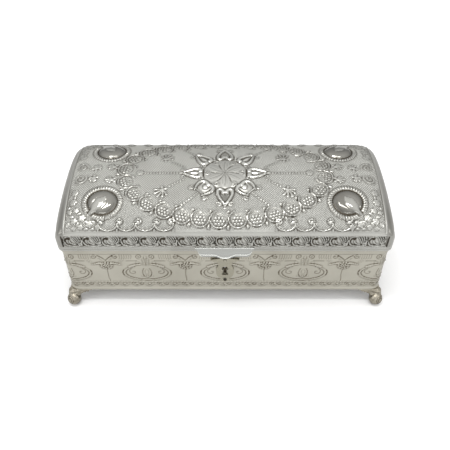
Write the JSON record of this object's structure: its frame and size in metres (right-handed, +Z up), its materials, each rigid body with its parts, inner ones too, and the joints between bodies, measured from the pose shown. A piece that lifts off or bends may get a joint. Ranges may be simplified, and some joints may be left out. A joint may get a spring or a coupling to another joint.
{
  "type": "keepsake box",
  "caption": "Low rectangular keepsake box with a hinged vaulted lid, chased relief, ball feet at the corners, a lifting tab and a keyhole lock.",
  "frame": {"origin": "on the surface that the feet stand on, under the middle of the box's outline", "axes": "+X to the right seen from the front, +Y to the back, where the hinges are, and +Z up"},
  "size_m": [0.2246, 0.0958, 0.0858],
  "materials": {
    "lid_silver": "silver plate, chased and lightly oxidised in the recesses",
    "base_silver": "silver plate, chased, slightly warm tone",
    "polished_silver": "bright polished silver plate",
    "brass": "plain stamped brass",
    "steel": "plain steel",
    "velvet": "short-pile dark blue velvet on card"
  },
  "bodies": {
    "base": {"base_shell": "base_silver", "bottom_plate": "steel", "foot_front_left": "base_silver", "foot_front_right": "base_silver", "foot_back_left": "base_silver", "foot_back_right": "base_silver", "foot_screw_front_left": "steel", "foot_screw_front_right": "steel", "foot_screw_back_left": "steel", "foot_screw_back_right": "steel", "lining_left": "velvet", "lining_right": "velvet", "lining_front": "velvet", "lining_back": "velvet", "lining_floor": "velvet", "escutcheon": "polished_silver", "escutcheon_pin_upper": "steel", "escutcheon_pin_lower": "steel", "lock_case": "brass", "lock_cover": "brass", "lock_post": "steel", "lock_screw_left": "steel", "lock_screw_right": "steel", "hinge_leaf_base_left": "brass", "hinge_leaf_base_right": "brass", "hinge_pin_left": "steel", "hinge_pin_right": "steel", "base_rivet_left_outer": "brass", "base_rivet_left_inner": "brass", "base_rivet_right_outer": "brass", "base_rivet_right_inner": "brass"},
    "lid": {"lid_shell": "lid_silver", "thumb_tab": "polished_silver", "lid_lining": "velvet", "lid_catch": "brass", "hinge_leaf_lid_left": "brass", "hinge_leaf_lid_right": "brass", "lid_rivet_left_outer": "brass", "lid_rivet_left_inner": "brass", "lid_rivet_right_outer": "brass", "lid_rivet_right_inner": "brass"},
    "bolt": {"lock_bolt": "steel"}
  },
  "joints": [
    {"name": "lid_hinge", "type": "hinge", "parent": "base", "child": "lid", "pos_m": [0, 0.043, 0.05415], "axis": [-1, 0, 0], "range_deg": [0, 100]},
    {"name": "bolt_slide", "type": "slide", "parent": "base", "child": "bolt", "axis": [1, 0, 0], "range_m": [0, 0.003]}
  ]
}
